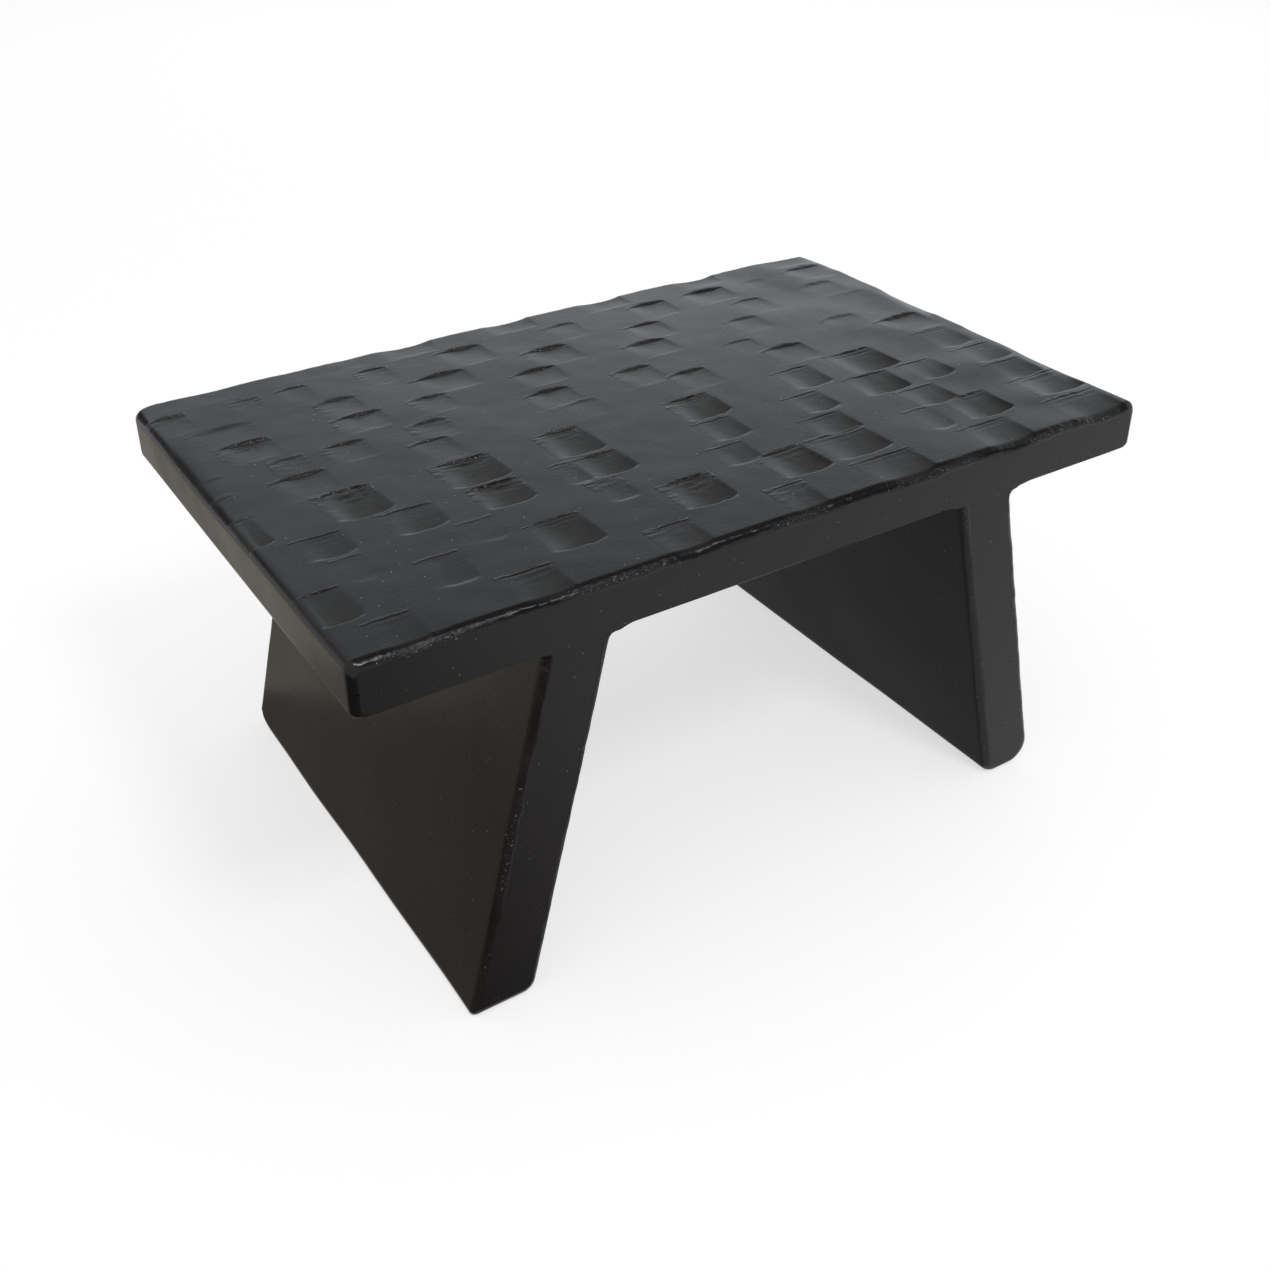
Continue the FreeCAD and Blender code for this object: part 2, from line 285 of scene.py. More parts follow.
# %% Rows from front to back, and the swept points
EDGE_ROUND = 4.0
ARC_STEPS = 8
ROW_PITCH, LEG_ROW_PITCH = 0.6, 2.0


def arc(middle, radius, start, end):
    angles = np.radians(np.linspace(start, end, ARC_STEPS + 1))
    return np.array(middle) + radius * np.stack((np.cos(angles), np.sin(angles)), axis=1)


def rows_of_panel(pitch):
    turn = np.radians(np.linspace(0, 90, ARC_STEPS + 1))
    rim, shrink = EDGE_ROUND * (1 - np.cos(turn)), EDGE_ROUND * (1 - np.sin(turn))
    stops = [front + EDGE_ROUND, *glue_lines, back - EDGE_ROUND]
    spans = [np.linspace(a, b, math.ceil((b - a) / pitch) + 1)[1:] for a, b in zip(stops, stops[1:])]
    y = np.concatenate((front + rim, *spans, (back - rim[::-1])[1:]))
    inset = np.concatenate((shrink, *[np.zeros(len(span)) for span in spans], shrink[::-1][1:]))
    seams = [0, *[int(np.argmin(abs(y - glue))) for glue in glue_lines], len(y) - 1]
    return y, inset, seams


def sweep(outline, inwards, y, inset):
    flat = outline[None] + inset[:, None, None] * inwards[None]
    return np.stack((flat[..., 0], np.repeat(y[:, None], len(outline), axis=1), flat[..., 1]), axis=-1)


def rim_of(inset, outline):
    return np.repeat(inset[:, None] / EDGE_ROUND, len(outline), axis=1)


print("Rows of the seat:", len(rows_of_panel(ROW_PITCH)[0]))
print("Rows of a leg:", len(rows_of_panel(LEG_ROW_PITCH)[0]))

# %% [markdown]
# The long edges of a stool take knocks, so their rims are beaten rough in places, and the paint puts painted
# glints on them as well. Corners that are rounded off fall away as a quarter circle does, from nothing well
# inside the edge to the full measure at the edge.

# %% Beaten rims and rounded corners
BEATEN, BEATEN_SHARE = Layer(0.65, 25, 26), 0.5


def beaten(along, y, rim):
    return patches(BEATEN, along, y, BEATEN_SHARE) * band(rim)


def fall_away(inside, reach):
    near = np.clip(1 - inside / reach, 0, 1)
    return 1 - np.sqrt(1 - near**2)


print("Falling away 0, 3 and 9 mm inside an edge:", fall_away(np.array([0.0, 3.0, 9.0]), 9.0).round(2))

# %% [markdown]
# ## The seat
# The seat's outline runs round both ends, finely along the top, where the carving needs it, and in long steps
# along the underside. Its lower edge is softened a little, but not where it meets the legs.

# %% Outline of the seat
TOP_PITCH, END_PITCH, UNDERSIDE_PITCH = 0.75, 1.5, 6.0
LOW_EDGE_SOFTNESS, LOW_EDGE_FADE, LEG_MARGIN = 0.55, 6.0, 3.0
CORNER, END_FADE = 4.2, 6.0


def between(a, b, pitch):
    return np.linspace(a, b, math.ceil(abs(b - a) / pitch) + 1)[1:-1]


def line(x, z):
    return np.stack(np.broadcast_arrays(x, z), axis=1).astype(float)


def low_edge(x):
    clear = np.maximum(leg_inner_top - LEG_MARGIN - abs(x), abs(x) - leg_inner_top - leg_width - LEG_MARGIN)
    return LOW_EDGE_SOFTNESS * ease(clear / LOW_EDGE_FADE)


def seat_outline():
    reach, high, low = half_length - CORNER, seat_top - CORNER, underside + CORNER
    top_x, low_x = between(-reach, reach, TOP_PITCH), between(reach, -reach, UNDERSIDE_PITCH)
    up_z = between(low, high, END_PITCH)
    outline = np.concatenate((
        arc((-reach, high), CORNER, 180, 90), line(top_x, seat_top),
        arc((reach, high), CORNER, 90, 0), line(half_length, up_z[::-1]),
        arc((reach, low), CORNER, 0, -90), line(low_x, underside),
        arc((-reach, low), CORNER, -90, -180), line(-half_length, up_z)))
    x, z = outline.T
    height = (z - underside) / (seat_top - underside)
    upper, lower = -ease((z - low) / (high - low)), low_edge(x) * (1 - ease((z - underside) / CORNER))
    ends = -np.sign(x) * ease((abs(x) - reach + END_FADE) / (END_FADE + CORNER))
    return outline, np.stack((ends, np.where(height > 0.5, upper, lower)), axis=1)


seat_line, seat_inwards = seat_outline()
print("Points round the seat:", len(seat_line))

# %% [markdown]
# The wood between the cuts is uneven too. It waves a little and is dappled, most where the grain is bad.
# At the right end it is pillowed, the long edges wander and are nicked, and the upper edges of the ends are
# worn away in places, where hands take hold of the stool.

# %% Unevenness of the seat
WAVE, DAPPLE, RIPPLE = Layer(0.3, 45, 21), Layer(0.2, 19, 27), Layer(0.1, 9, 22)
PILLOW, PILLOW_FROM, PILLOW_FADE = Layer(0.9, 26, 28), 90.0, 60.0
RIM_WANDER, RIM_NICKS, RIM_GRIT = Layer(1.3, 11, 23), Layer(0.9, 4.5, 24), Layer(0.25, 1.9, 25)
WORN, WORN_SHARE, WORN_REACH = Layer(1.6, 21, 29), 0.3, 14.0


def near_end(x, reach):
    return ease((abs(x) - half_length) / reach + 1)


def unevenness(x, y, z, rim):
    dapple = (lumps(DAPPLE, x, y) + lumps(RIPPLE, x, y)) * (1 + bad_grain(x)) / 2
    pillow = lumps(PILLOW, x, y) * ease((x - PILLOW_FROM) / PILLOW_FADE)
    ragged = rim * (lumps(RIM_WANDER, x, y) + waves(RIM_NICKS, x, y + z))
    grit = band(rim) * waves(RIM_GRIT, x, y + z)
    worn = patches(WORN, x, y, WORN_SHARE) * near_end(x, WORN_REACH) ** 2
    return lumps(WAVE, x, y) + dapple + pillow + ragged + grit + worn


middle = np.zeros(1)
print("Unevenness in the middle:", unevenness(middle, middle, middle, middle).round(2), "mm")

# %% [markdown]
# Now the carving and the unevenness press every column of points down. Because the columns are pressed and
# not cut, the rounded edges stay round and dip where a cut runs off the edge, as they do on the stool. At the
# ends the cuts are rubbed shallow, the corners are rubbed smooth, and the two back corners are rounded off.
# Three marks stay with the points for the paint: torn wood, which also carries painted glints, hollows, which
# are also painted paler as painted light, and edges that hands have polished.

# %% Press the seat
HOLLOW_DEPTH = 1.3
TOP_BAND = 0.7 * CORNER
RUBBED_ENDS, RUBBED_FROM = 0.6, 1.5
SMOOTH_CORNERS = 24.0
CORNER_PULL, CORNER_REACH = 5.0, 9.0
seat_y, seat_inset, seams = rows_of_panel(ROW_PITCH)
seat = sweep(seat_line, seat_inwards, seat_y, seat_inset)
x, y, z = seat[..., 0], seat[..., 1], seat[..., 2]
rim = rim_of(seat_inset, seat_line)
depth, torn = carving(x, y)
on_top = ease((z - seat_top) / TOP_BAND + 1)
hollow = on_top * np.clip(depth / HOLLOW_DEPTH, 0, 1)
torn = np.maximum(on_top * torn, beaten(x + z, y, rim) * (1 - near_end(x, SMOOTH_CORNERS)))
depth *= 1 - RUBBED_ENDS * ease((abs(x) - half_length) / CORNER + RUBBED_FROM)
pressed_top = seat_top - depth - unevenness(x, y, z, rim)
x -= np.sign(x) * CORNER_PULL * fall_away(back - y, CORNER_REACH) * near_end(x, 2 * CORNER_REACH)
z[:] = underside + (z - underside) * (pressed_top - underside) / (seat_top - underside)
print("Deepest cut:", round(float(depth.max()), 2), "mm")

# %% [markdown]
# ## Boards from a panel
# Each board is the part of the panel between two glue lines, closed by a flat glue face. Under the paint no
# joint shows, so the shading must not break there either: the normals are worked out on the whole panel, each
# face counting by its area so that flat faces stay flat, and are then handed to the boards as custom normals.

# %% Normals of the whole panel
def panel_normals(points):
    right = np.roll(points, -1, axis=1)
    area = np.cross(right[1:] - points[:-1], points[1:] - right[:-1]) / 2
    normals = np.zeros_like(points)
    for rows in (slice(None, -1), slice(1, None)):
        normals[rows] += area + np.roll(area, 1, axis=1)
    for row, way in ((0, -1), (-1, 1)):
        ring = points[row]
        size = abs(np.cross(ring[:, [0, 2]], np.roll(ring, -1, axis=0)[:, [0, 2]]).sum()) / 2
        normals[row] += (0, way * size, 0)
    return normals / np.linalg.norm(normals, axis=-1, keepdims=True)


print("Least upward normal on the seat:", panel_normals(seat)[..., 2].min().round(2))

# %% One board, and the boards of a panel
def make_board(name, node, points, normals, marks):
    rows, around = points.shape[:2]
    index = np.arange(rows * around).reshape(rows, around)
    right = np.roll(index, -1, axis=1)
    quads = np.stack((index[:-1], right[:-1], right[1:], index[1:]), axis=-1).reshape(-1, 4)
    glue_faces = [index[0, ::-1].tolist(), index[-1].tolist()]
    mesh = bpy.data.meshes.new(name)
    mesh.from_pydata((points.reshape(-1, 3) * MM).tolist(), [], quads.tolist() + glue_faces)
    glue_normals = np.repeat([(0, -1, 0), (0, 1, 0)], around, axis=0)
    mesh.polygons.foreach_set("use_smooth", np.ones(len(mesh.polygons), bool))
    shading = np.concatenate((normals.reshape(-1, 3)[quads.ravel()], glue_normals))
    mesh.normals_split_custom_set(shading.tolist())
    for mark, values in marks.items():
        layer = mesh.attributes.new(mark, "FLOAT", "POINT")
        layer.data.foreach_set("value", values.astype(np.float32).ravel())
    piece = bpy.data.objects.new(name, mesh)
    scene.collection.objects.link(piece)
    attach(piece, "root")
    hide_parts(node)
    return piece


def boards_of_panel(panel, points, cuts, marks):
    normals = panel_normals(points)
    pieces = []
    for n, first, last in zip(BOARDS, cuts, cuts[1:]):
        rows = slice(first, last + 1)
        name, node = f"painted_{panel}_board_{n}", f"{panel}_board_{n}"
        board_marks = {mark: values[rows] for mark, values in marks.items()}
        pieces.append(make_board(name, node, points[rows], normals[rows], board_marks))
    return pieces


seat_marks = {"torn": torn, "hollow": hollow, "handled": band(rim)}
seat_boards = boards_of_panel("seat", seat, seams, seat_marks)
print("Seat boards:", [(piece.name, len(piece.data.polygons)) for piece in seat_boards])

# %% [markdown]
# ## The legs
# A leg is a plank panel that leans outwards, cut at a slant top and bottom so that it meets the seat and the
# floor flat. Filler and paint leave a small hollow curve where it meets the seat, larger on some sides than
# on others, and the foot's edges are worn rounder than the rest. In each pair of sizes the inner side of the
# leg comes first. The outline is worked out for the right leg, and the left leg is mirrored.

# %% Outline of a leg
COVES = {"left": (4.0, 2.0), "right": (2.5, 6.5)}
FOOT_ROUNDS = {"left": (7.0, 2.0), "right": (8.0, 11.0)}
SOLE_SHARE, FOOT_REACH = 1.2, 40.0
LEG_PITCH, COVE_PITCH, COVE_ROOM = 3.0, 0.5, 8.5
slope, slant = math.tan(LEG_SPLAY), 1 / math.cos(LEG_SPLAY)
leg_outer_top = leg_inner_top + leg_width


def leg_face(top_x, cove, foot, way):
    near_seat = underside - np.arange(0, COVE_ROOM + COVE_PITCH, COVE_PITCH)
    heights = np.concatenate((near_seat, between(near_seat[-1], foot, LEG_PITCH)))
    hollow = cove - np.sqrt(cove**2 - np.clip(heights - underside + cove, 0, cove) ** 2)
    return line(top_x + (underside - heights) * slope + way * hollow, heights)


def near_floor(z):
    return np.clip(1 - z / FOOT_REACH, 0, 1)


def leg_outline(inner_cove, outer_cove, inner_foot, outer_foot):
    tilt = math.degrees(LEG_SPLAY)
    inner = leg_face(leg_inner_top, inner_cove, inner_foot, -1)
    outer = leg_face(leg_outer_top, outer_cove, outer_foot, 1)
    inner_x = leg_inner_top + (underside - inner_foot) * slope + inner_foot * slant
    outer_x = leg_outer_top + (underside - outer_foot) * slope - outer_foot * slant
    outline = np.concatenate((
        line(between(inner[0, 0], outer[0, 0], LEG_PITCH), underside), outer,
        arc((outer_x, outer_foot), outer_foot, tilt, -90), line(between(outer_x, inner_x, LEG_PITCH), 0),
        arc((inner_x, inner_foot), inner_foot, -90, tilt - 180), inner[::-1]))
    x, z = outline.T
    across = np.clip((x - leg_inner_top - (underside - z) * slope) / leg_width, 0, 1)
    lift = SOLE_SHARE * near_floor(z)
    return outline, line(slant * (1 - 2 * across) - slope * lift, lift)


print("Points round the right leg:", len(leg_outline(*COVES["right"], *FOOT_ROUNDS["right"])[0]))

# %% [markdown]
# The faces of a leg wave a little, each in its own way, so the outer face takes its waves from far off among
# the hills. The front and back edges wander and are nicked, and the sole rises at the back like a worn heel.

# %% Both legs
WAVE_HEIGHT, WAVE_PITCH, OTHER_FACE = 0.35, 50, 900
WANDER_HEIGHT, WANDER_PITCH, NICK_HEIGHT, NICK_PITCH = 0.2, 9, 0.12, 3
CALM_UNDER_SEAT = 6.0
HEEL_LIFT, HEEL_REACH = 4.2, 18.0
leg_y, leg_inset, leg_seams = rows_of_panel(LEG_ROW_PITCH)


def make_leg(side, wave_seed, wander_seed, nick_seed):
    leg_line, leg_inwards = leg_outline(*COVES[side], *FOOT_ROUNDS[side])
    leg = sweep(leg_line, leg_inwards, leg_y, leg_inset)
    x, y, z = leg[..., 0], leg[..., 1], leg[..., 2]
    inwards = leg_inwards[None, :, 0]
    ragged = waves(Layer(WANDER_HEIGHT, WANDER_PITCH, wander_seed), z, x)
    ragged += waves(Layer(NICK_HEIGHT, NICK_PITCH, nick_seed), z, x)
    x += leg_inset[:, None] * ragged * inwards * ease((underside - z) / CALM_UNDER_SEAT)
    x += waves(Layer(WAVE_HEIGHT, WAVE_PITCH, wave_seed), y, z + OTHER_FACE * (inwards < 0))
    raised = HEEL_LIFT * fall_away(back - EDGE_ROUND - y, HEEL_REACH) * near_floor(z)
    x -= raised * slope
    z += raised
    if side == "left":
        leg = leg[:, ::-1] * (-1, 1, 1)
    marks = {"torn": beaten(leg[..., 2], leg[..., 0], rim_of(leg_inset, leg_line))}
    return boards_of_panel(f"{side}_leg", leg, leg_seams, marks)


leg_boards = make_leg("left", 31, 41, 51) + make_leg("right", 32, 42, 52)
print("Leg boards:", [piece.name for piece in leg_boards])

# %% [markdown]
# ## One way to add a node
# A material is a small graph. This function adds one node, sets its fields and fills its inputs: a socket is
# linked, anything else is set as the input's own value. Colours are written as on screen, in sRGB hex, and
# turned to linear. A Mix node has a set of sockets for each kind of data: those for colours go by number.

# %% Node and colour helpers
COLOUR_A, COLOUR_B, COLOUR_OUT = 6, 7, 2


def add(tree, kind, inputs=None, **settings):
    made = tree.nodes.new("ShaderNode" + kind)
    for name, value in settings.items():
        setattr(made, name, value)
    for key, value in (inputs or {}).items():
        if isinstance(value, bpy.types.NodeSocket):
            tree.links.new(value, made.inputs[key])
        else:
            made.inputs[key].default_value = value
    return made


def linear(code):
    parts = [int(code[k:k + 2], 16) / 255 for k in (1, 3, 5)]
    return [c / 12.92 if c <= 0.04045 else ((c + 0.055) / 1.055) ** 2.4 for c in parts] + [1.0]


def new_material(name):
    material = bpy.data.materials.new(name)
    material.use_nodes = True
    tree = material.node_tree
    tree.nodes.clear()
    return material, tree


print("A near black in linear light:", [round(v, 4) for v in linear("#1d1b1a")])

# %% [markdown]
# ## Satin black paint
# The stool is brushed with satin black alkyd paint and rubbed down once. That gives the eye a nearly black,
# slightly brown colour that hardly matters, and a soft grey sheen that does: at a low angle the paint mirrors
# the pale room. A plain black would look like plastic, so the colour is built up: the film is cloudy, thicker
# here and thinner there, and dust that settled while it dried makes small pale specks. Two marks in the
# colour
# are painted light: the hollows of the cuts are painted a shade paler and warmer, for the brown that shows
# there under a weaker sheen, and pale specks on torn wood and beaten rims are painted glints.

# %% Colour of the paint
# Size, lift and threshold of the pale specks on torn wood, which are painted glints.
CLOUD_SIZE, DUST_SPACING, SPECK_SIZE, GLINT_SPECK_SIZE = 38 * MM, 5 * MM, 0.2 * MM, 0.8 * MM
GLINT_LIFT, GLINTS_FROM, GLINTS_FULL = 0.2, 0.78, 0.88
# The hollow colour and the speck colour are painted light; the two dust colours are the dust's own.
PAINTED_HOLLOW_LIGHT, PAINTED_GLINT_COLOUR, DARK_DUST, PALE_DUST = "#23221f", "#8f8c86", "#3a3937", "#c9c7c2"


def paint_colour(tree, place, cloud, hollow, torn, thin, thick):
    film = add(tree, "Mix", {0: cloud, COLOUR_A: linear(thick), COLOUR_B: linear(thin)}, data_type="RGBA")
    # Painted light: the hollows of the cuts are painted paler and warmer, for how they look under a weaker
    # sheen.
    in_hollows = add(tree, "Mix", {0: hollow, COLOUR_A: film.outputs[COLOUR_OUT], COLOUR_B: linear(PAINTED_HOLLOW_LIGHT)},
               data_type="RGBA")
    # Painted glints: pale specks on torn wood and beaten rims stand in for the sparkle of light on them.
    grit = add(tree, "TexNoise", {"Vector": place, "Scale": 1 / GLINT_SPECK_SIZE, "Detail": 1.0})
    lifted = add(tree, "Math", {0: torn, 1: GLINT_LIFT, 2: grit.outputs["Fac"]}, operation="MULTIPLY_ADD")
    painted_glint = add(tree, "MapRange", {"Value": lifted.outputs[0], "From Min": GLINTS_FROM,
                                   "From Max": GLINTS_FULL})
    with_painted_glints = add(tree, "Mix", {0: painted_glint.outputs["Result"], COLOUR_A: in_hollows.outputs[COLOUR_OUT],
                                COLOUR_B: linear(PAINTED_GLINT_COLOUR)}, data_type="RGBA")
    dust = add(tree, "TexVoronoi", {"Vector": place, "Scale": 1 / DUST_SPACING}, feature="F1")
    speck = add(tree, "Math", {0: dust.outputs["Distance"], 1: SPECK_SIZE / DUST_SPACING},
                operation="LESS_THAN")
    pale = add(tree, "Mix", {0: dust.outputs["Color"], COLOUR_A: linear(DARK_DUST),
                             COLOUR_B: linear(PALE_DUST)}, data_type="RGBA")
    dusty = add(tree, "Mix", {0: speck.outputs[0], COLOUR_A: with_painted_glints.outputs[COLOUR_OUT],
                              COLOUR_B: pale.outputs[COLOUR_OUT]}, data_type="RGBA")
    return dusty.outputs[COLOUR_OUT]


print("Clouds", round(CLOUD_SIZE / MM, 1), "mm wide, specks of dust", round(SPECK_SIZE / MM, 1), "mm")

# %% [markdown]
# The gloss follows the same marks: satin on the level wood, duller in the hollows, and polished along the
# edges that hands have rubbed. The film is not quite flat either. The grain of the wood shows through as long
# low streaks, the brush left a skin like fine leather, and torn fibres stand up.

# %% Gloss and relief of the paint
SATIN, RUBBED, DULL, POLISHED = 0.22, 0.34, 0.46, 0.16
CLOUD_LOW, CLOUD_HIGH = 0.3, 0.7
SKIN_SIZE, FIBRE_SIZES = 2.2 * MM, (2.2 * MM, 0.9 * MM, 0.9 * MM)
GRAIN_RELIEF, SKIN_RELIEF, TORN_RELIEF = 0.018 * MM, 0.06 * MM, 0.9 * MM


def paint_roughness(tree, cloud, hollow, handled):
    rubbed = add(tree, "MapRange", {"Value": cloud, "From Min": CLOUD_LOW, "From Max": CLOUD_HIGH,
                                    "To Min": SATIN, "To Max": RUBBED})
    in_hollows = add(tree, "MapRange", {"Value": hollow, "To Min": rubbed.outputs["Result"], "To Max": DULL})
    polished = add(tree, "MapRange", {"Value": handled, "To Min": in_hollows.outputs["Result"], "To Max": POLISHED})
    return polished.outputs["Result"]


def paint_relief(tree, place, torn, grain_sizes):
    along = add(tree, "Mapping", {"Vector": place, "Scale": [1 / size for size in grain_sizes]})
    grain = add(tree, "TexNoise", {"Vector": along.outputs["Vector"], "Scale": 1.0, "Detail": 3.0})
    skin = add(tree, "TexNoise", {"Vector": place, "Scale": 1 / SKIN_SIZE, "Detail": 2.0})
    drawn = add(tree, "Mapping", {"Vector": place, "Scale": [1 / size for size in FIBRE_SIZES]})
    fibre = add(tree, "TexNoise", {"Vector": drawn.outputs["Vector"], "Scale": 1.0, "Detail": 3.0,
                                   "Roughness": 0.7})
    raised = add(tree, "Math", {0: fibre.outputs["Fac"], 1: torn}, operation="MULTIPLY")
    low = add(tree, "Bump", {"Height": grain.outputs["Fac"], "Strength": 1.0, "Distance": GRAIN_RELIEF})
    fine = add(tree, "Bump", {"Height": skin.outputs["Fac"], "Strength": 1.0, "Distance": SKIN_RELIEF,
                              "Normal": low.outputs["Normal"]})
    rough = add(tree, "Bump", {"Height": raised.outputs[0], "Strength": 1.0, "Distance": TORN_RELIEF,
                               "Normal": fine.outputs["Normal"]})
    return rough.outputs["Normal"]


print("Roughness from", POLISHED, "to", DULL)

# %% Paint for the seat, with the grain along it, and for the legs, with the grain down them
PAINT_IOR, PAINT_SPECULAR = 1.45, 0.25
GRAIN_LENGTH, GRAIN_WIDTH = 40 * MM, 2.5 * MM


def satin_black_paint(name, grain_sizes, thin, thick):
    material, tree = new_material(name)
    place = add(tree, "TexCoord").outputs["Object"]
    cloud = add(tree, "TexNoise", {"Vector": place, "Scale": 1 / CLOUD_SIZE, "Detail": 3.0}).outputs["Fac"]
    hollow, torn, handled = [add(tree, "Attribute", attribute_name=mark).outputs["Fac"]
                             for mark in ("hollow", "torn", "handled")]
    paint = add(tree, "BsdfPrincipled", {
        "Base Color": paint_colour(tree, place, cloud, hollow, torn, thin, thick),
        "Roughness": paint_roughness(tree, cloud, hollow, handled),
        "Normal": paint_relief(tree, place, torn, grain_sizes),
        "IOR": PAINT_IOR, "Specular IOR Level": PAINT_SPECULAR})
    add(tree, "OutputMaterial", {"Surface": paint.outputs["BSDF"]})
    return material


seat_grain, leg_grain = (GRAIN_LENGTH, GRAIN_WIDTH, GRAIN_WIDTH), (GRAIN_WIDTH, GRAIN_WIDTH, GRAIN_LENGTH)
seat_paint = satin_black_paint("satin_black_paint_on_seat", seat_grain, "#1f1d1c", "#161616")
# The legs' copy of the paint is a touch darker and warmer than the seat's: painted shade for the seat's
# shadow on them.
leg_paint = satin_black_paint("satin_black_paint_on_legs", leg_grain, "#1d1917", "#161413")
for piece in seat_boards:
    piece.data.materials.append(seat_paint)
for piece in leg_boards:
    piece.data.materials.append(leg_paint)
print("Painted", len(seat_boards) + len(leg_boards), "boards")

# %% [markdown]
# ## The dowels
# Eight dowels hold the legs to the seat, hidden inside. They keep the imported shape, and get the look of
# turned beech: pale, with short fine flecks along the rod, so that they look right if someone takes the
# stool apart.

# %% Beech for the hidden dowels
FLECK_SIZES, FLECK_RELIEF = (1.2 * MM, 1.2 * MM, 14 * MM), 0.05 * MM
BEECH_ROUGHNESS, BEECH_IOR = 0.6, 1.5
DARK_BEECH, PALE_BEECH = "#b98d5e", "#d7b184"


def turned_beech(name):
    material, tree = new_material(name)
    place = add(tree, "TexCoord").outputs["Object"]
    along = add(tree, "Mapping", {"Vector": place, "Scale": [1 / size for size in FLECK_SIZES]})
    fleck = add(tree, "TexNoise", {"Vector": along.outputs["Vector"], "Scale": 1.0, "Detail": 4.0})
    colour = add(tree, "Mix", {0: fleck.outputs["Fac"], COLOUR_A: linear(DARK_BEECH),
                               COLOUR_B: linear(PALE_BEECH)}, data_type="RGBA")
    relief = add(tree, "Bump", {"Height": fleck.outputs["Fac"], "Strength": 1.0, "Distance": FLECK_RELIEF})
    wood = add(tree, "BsdfPrincipled", {
        "Base Color": colour.outputs[COLOUR_OUT], "Normal": relief.outputs["Normal"],
        "Roughness": BEECH_ROUGHNESS, "IOR": BEECH_IOR})
    add(tree, "OutputMaterial", {"Surface": wood.outputs["BSDF"]})
    return material


beech = turned_beech("turned_beech")
for node in ("left_leg_dowels", "right_leg_dowels"):
    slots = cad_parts[node].data.materials
    slots.clear()
    slots.append(beech)
print("Dowels in", beech.name)

# %% [markdown]
# ## Floor and background
# The stool stands on a plain white floor in front of white. Turning the lamps up until the floor is white
# would wash out the paint, so the floor glows a little, but only for the camera and for reflections. Its own
# share of light stays, and with it the soft shadow under the stool.

# %% White floor
FLOOR_HALF = 4.0
FLOOR_GLOW = 0.62


def seen(tree):
    ray = add(tree, "LightPath").outputs
    both = add(tree, "Math", {0: ray["Is Camera Ray"], 1: ray["Is Glossy Ray"]}, operation="MAXIMUM")
    any_of = add(tree, "Math", {0: both.outputs[0], 1: ray["Is Transmission Ray"]}, operation="MAXIMUM")
    return any_of.outputs[0]


def level(low, high, height):
    return [(low[0], low[1], height), (high[0], low[1], height),
            (high[0], high[1], height), (low[0], high[1], height)]


def make_sheet(name, corners, material):
    mesh = bpy.data.meshes.new(name)
    mesh.from_pydata(corners, [], [range(len(corners))])
    mesh.materials.append(material)
    sheet = bpy.data.objects.new(name, mesh)
    scene.collection.objects.link(sheet)
    return sheet


floor_material, tree = new_material("white_studio_floor")
matte = add(tree, "BsdfDiffuse", {"Color": linear("#b4b4b4")})
glow = add(tree, "Emission", {"Color": linear("#ffffff"), "Strength": FLOOR_GLOW})
lit = add(tree, "AddShader", {0: matte.outputs[0], 1: glow.outputs[0]})
choice = add(tree, "MixShader", {0: seen(tree), 1: matte.outputs[0], 2: lit.outputs[0]})
add(tree, "OutputMaterial", {"Surface": choice.outputs[0]})
floor_corners = level((-FLOOR_HALF, -FLOOR_HALF), (FLOOR_HALF, FLOOR_HALF), 0)
floor = make_sheet("studio_floor", floor_corners, floor_material)
print("Floor", 2 * FLOOR_HALF, "m square")

# %% [markdown]
# ## Light
# The sheen of the paint is the picture of the room in it, so the room comes first: white all round, as studio
# sweeps are, and lit at a plain level. Lamps alone could light the room, but a world colour is softer.

# %% Room light
ROOM_LIGHT = 0.75
scene.world = scene.world or bpy.data.worlds.new("room")
scene.world.use_nodes = True
tree = scene.world.node_tree
tree.nodes.clear()
room = add(tree, "Background", {"Color": linear("#fdfeff"), "Strength": ROOM_LIGHT})
white = add(tree, "Background", {"Color": linear("#ffffff"), "Strength": 1.0})
sheen = add(tree, "Background", {"Color": linear("#f1f7ff"), "Strength": 1.0})
mirrored = add(tree, "MixShader", {0: seen(tree), 1: room.outputs[0], 2: sheen.outputs[0]})
choice = add(tree, "MixShader", {0: add(tree, "LightPath").outputs["Is Camera Ray"], 1: mirrored.outputs[0],
                                 2: white.outputs[0]})
add(tree, "OutputWorld", {"Surface": choice.outputs[0]})
print("Room light", ROOM_LIGHT)

# %% [markdown]
# One small softbox over the front lights the upper edges, and a long one behind lifts the far end of the top.
# Two more only glint in the paint and light nothing else: a strip that draws the broken line along the front
# edge, and a square that catches the front left corner.

# %% Softboxes: place in metres, width and height, watts, and whether they light or only glint
SOFTBOXES = {
    "softbox_over_front": ((0.0, -1.06, 1.46), (0.3, 0.3), 7.0, True),
    "long_softbox_behind": ((1.3, 1.7, 0.68), (1.7, 0.7), 2.0, True),
    "strip_for_front_edge": ((0.45, -1.06, 1.46), (0.7, 0.2), 6.0, False),
    "square_for_front_corner": ((-0.25, -0.9, 1.6), (0.35, 0.35), 9.0, False),
}
for name, (spot, (wide, tall), watts, lights_all) in SOFTBOXES.items():
    lamp = bpy.data.lights.new(name, "AREA")
    lamp.shape, lamp.size, lamp.size_y, lamp.energy = "RECTANGLE", wide, tall, watts
    softbox = bpy.data.objects.new(name, lamp)
    softbox.location = spot
    softbox.rotation_mode = "QUATERNION"
    softbox.rotation_quaternion = (-softbox.location).to_track_quat("-Z", "Y")
    softbox.visible_camera, softbox.visible_diffuse = False, lights_all
    scene.collection.objects.link(softbox)
print(len(SOFTBOXES), "softboxes")

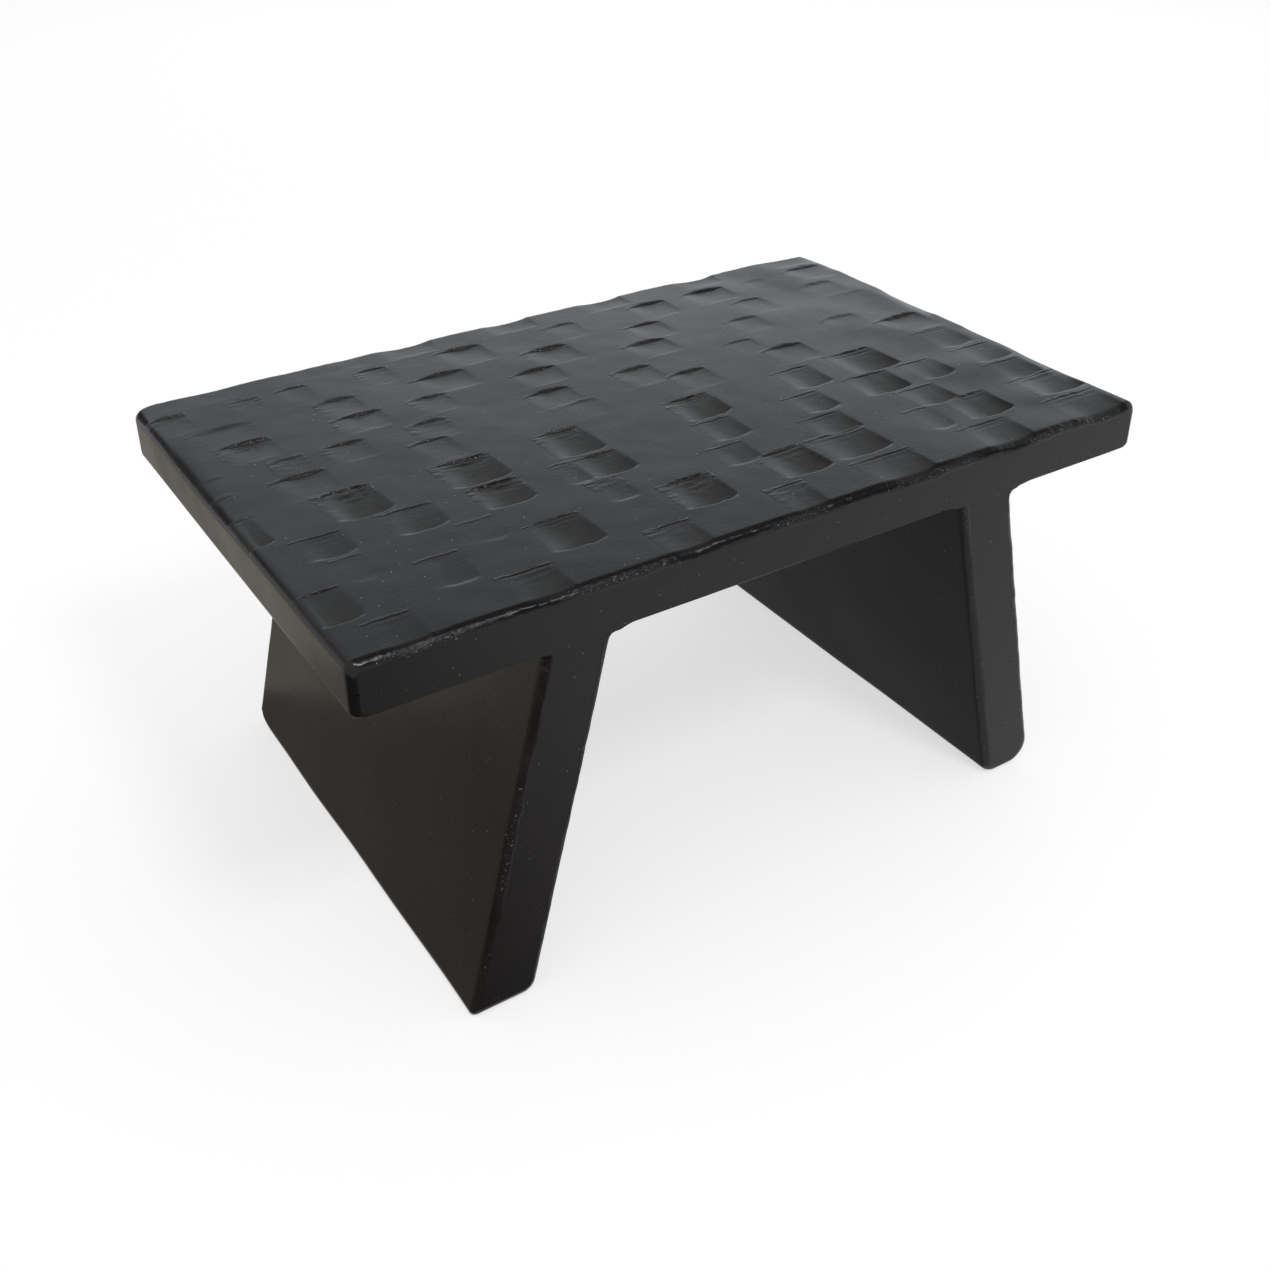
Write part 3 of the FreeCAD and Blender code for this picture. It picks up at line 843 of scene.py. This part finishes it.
# %% [markdown]
# ## What the paint mirrors
# A studio is dark over and behind the camera, and the floor close to a thing lies in its shade and is darker
# than the floor far away. Real dark walls would also dim the floor, so both are made of glowing cards that
# reflections alone can see: painted reflections of the dark half of the room, and painted shade of the floor.
# The wall, the ceiling and one card on the floor fade out to one side, so that no hard line crosses the
# paint.

# %% Glow of a card, seen only in reflections
def upright(low, high, y):
    return [(low[0], y, low[1]), (high[0], y, low[1]), (high[0], y, high[1]), (low[0], y, high[1])]


def card_glow(name, shade, fade):
    material, tree = new_material(name)
    shown = add(tree, "Emission", {"Color": linear(shade)}).outputs[0]
    if fade:
        place = add(tree, "SeparateXYZ", {0: add(tree, "TexCoord").outputs["Object"]})
        solid = add(tree, "MapRange", {"Value": place.outputs["X"], "From Min": fade[0], "From Max": fade[1]})
        clear = add(tree, "BsdfTransparent")
        shown = add(tree, "MixShader", {0: solid.outputs["Result"], 1: clear.outputs[0], 2: shown}).outputs[0]
    add(tree, "OutputMaterial", {"Surface": shown})
    return material


print("A wall 1 m wide and 2 m high:", upright((0, 0), (1, 2), 0))

# %% Cards: shade, where along X the card is clear and where it is solid, and corners in metres
DARK_HALF, NEAR_CORNER = (-0.4, 0.4), (0.0, -0.18)
# Each card glows with one fixed tone as a painted reflection: black for the unlit half of the room, and grey,
# brown and cream for the floor near the stool, dimmed by its shadow.
CARDS = {
    "black_wall_behind_camera": ("#202020", DARK_HALF, upright((-0.4, 0.45), (3, 2.5), -1.6)),
    "black_ceiling": ("#202020", DARK_HALF, level((-0.4, -1.6), (3, 2.4), 2.5)),
    "black_screen_at_back_left": ("#202020", None, upright((-1.6, 0.3), (-0.3, 1.5), 2.2)),
    "black_card_at_corner": ("#0c0c0c", None, [
        (-0.75, -0.55, 0.004), (-0.17, -0.55, 0.004), (-0.22, -0.14, 0.004), (-0.34, 0.0, 0.004),
        (-0.75, 0.0, 0.004)]),
    "grey_card_before_corner": ("#606060", NEAR_CORNER, level((-0.3, -0.62), (0.0, -0.134), 0.002)),
    "grey_card_under_stool": ("#969696", None, level((-0.12, -0.13), (0.146, 0.3), 0.002)),
    "brown_card_by_left_leg": ("#8f8780", None, level((-0.42, -0.2), (-0.17, 0.16), 0.003)),
    "cream_card_on_floor": ("#cac4b9", None, level((-0.95, 0.0), (-0.18, 0.9), 0.002)),
}
for name, (shade, fade, corners) in CARDS.items():
    card = make_sheet(name, corners, card_glow(name, shade, fade))
    card.visible_camera = card.visible_diffuse = card.visible_shadow = card.visible_transmission = False
print(len(CARDS), "cards")

# %% [markdown]
# ## Camera
# The camera looks down at the stool's front left corner from about thirty degrees, close enough for the far
# end to look clearly smaller. Its place was found by matching the corners of seat and feet. The small shift
# moves the stool to where it stands in the picture without tilting the camera.

# %% Camera at the photograph's angle
AZIMUTH, ELEVATION, ROLL = map(math.radians, (-32.728, 30.116, -0.194))
DISTANCE, TARGET = 0.8188, Vector((0.02281, 0.03585, 0.10224))
FILM_WIDTH, LENS, UP_SHIFT, NEAREST = 36.0, 42.02, -0.0745, 0.01
camera = bpy.data.objects.new("camera", bpy.data.cameras.new("camera"))
camera.data.sensor_width, camera.data.lens = FILM_WIDTH, LENS
camera.data.shift_y = UP_SHIFT
camera.data.clip_start = NEAREST
away = Vector((math.sin(AZIMUTH) * math.cos(ELEVATION), -math.cos(AZIMUTH) * math.cos(ELEVATION),
               math.sin(ELEVATION)))
camera.location = TARGET + away * DISTANCE
camera.rotation_mode = "QUATERNION"
camera.rotation_quaternion = (-away).to_track_quat("-Z", "Y") @ Quaternion((0, 0, 1), ROLL)
scene.collection.objects.link(camera)
scene.camera = camera
scene.view_settings.view_transform = "Standard"
print("Camera at", [round(v, 3) for v in camera.location])
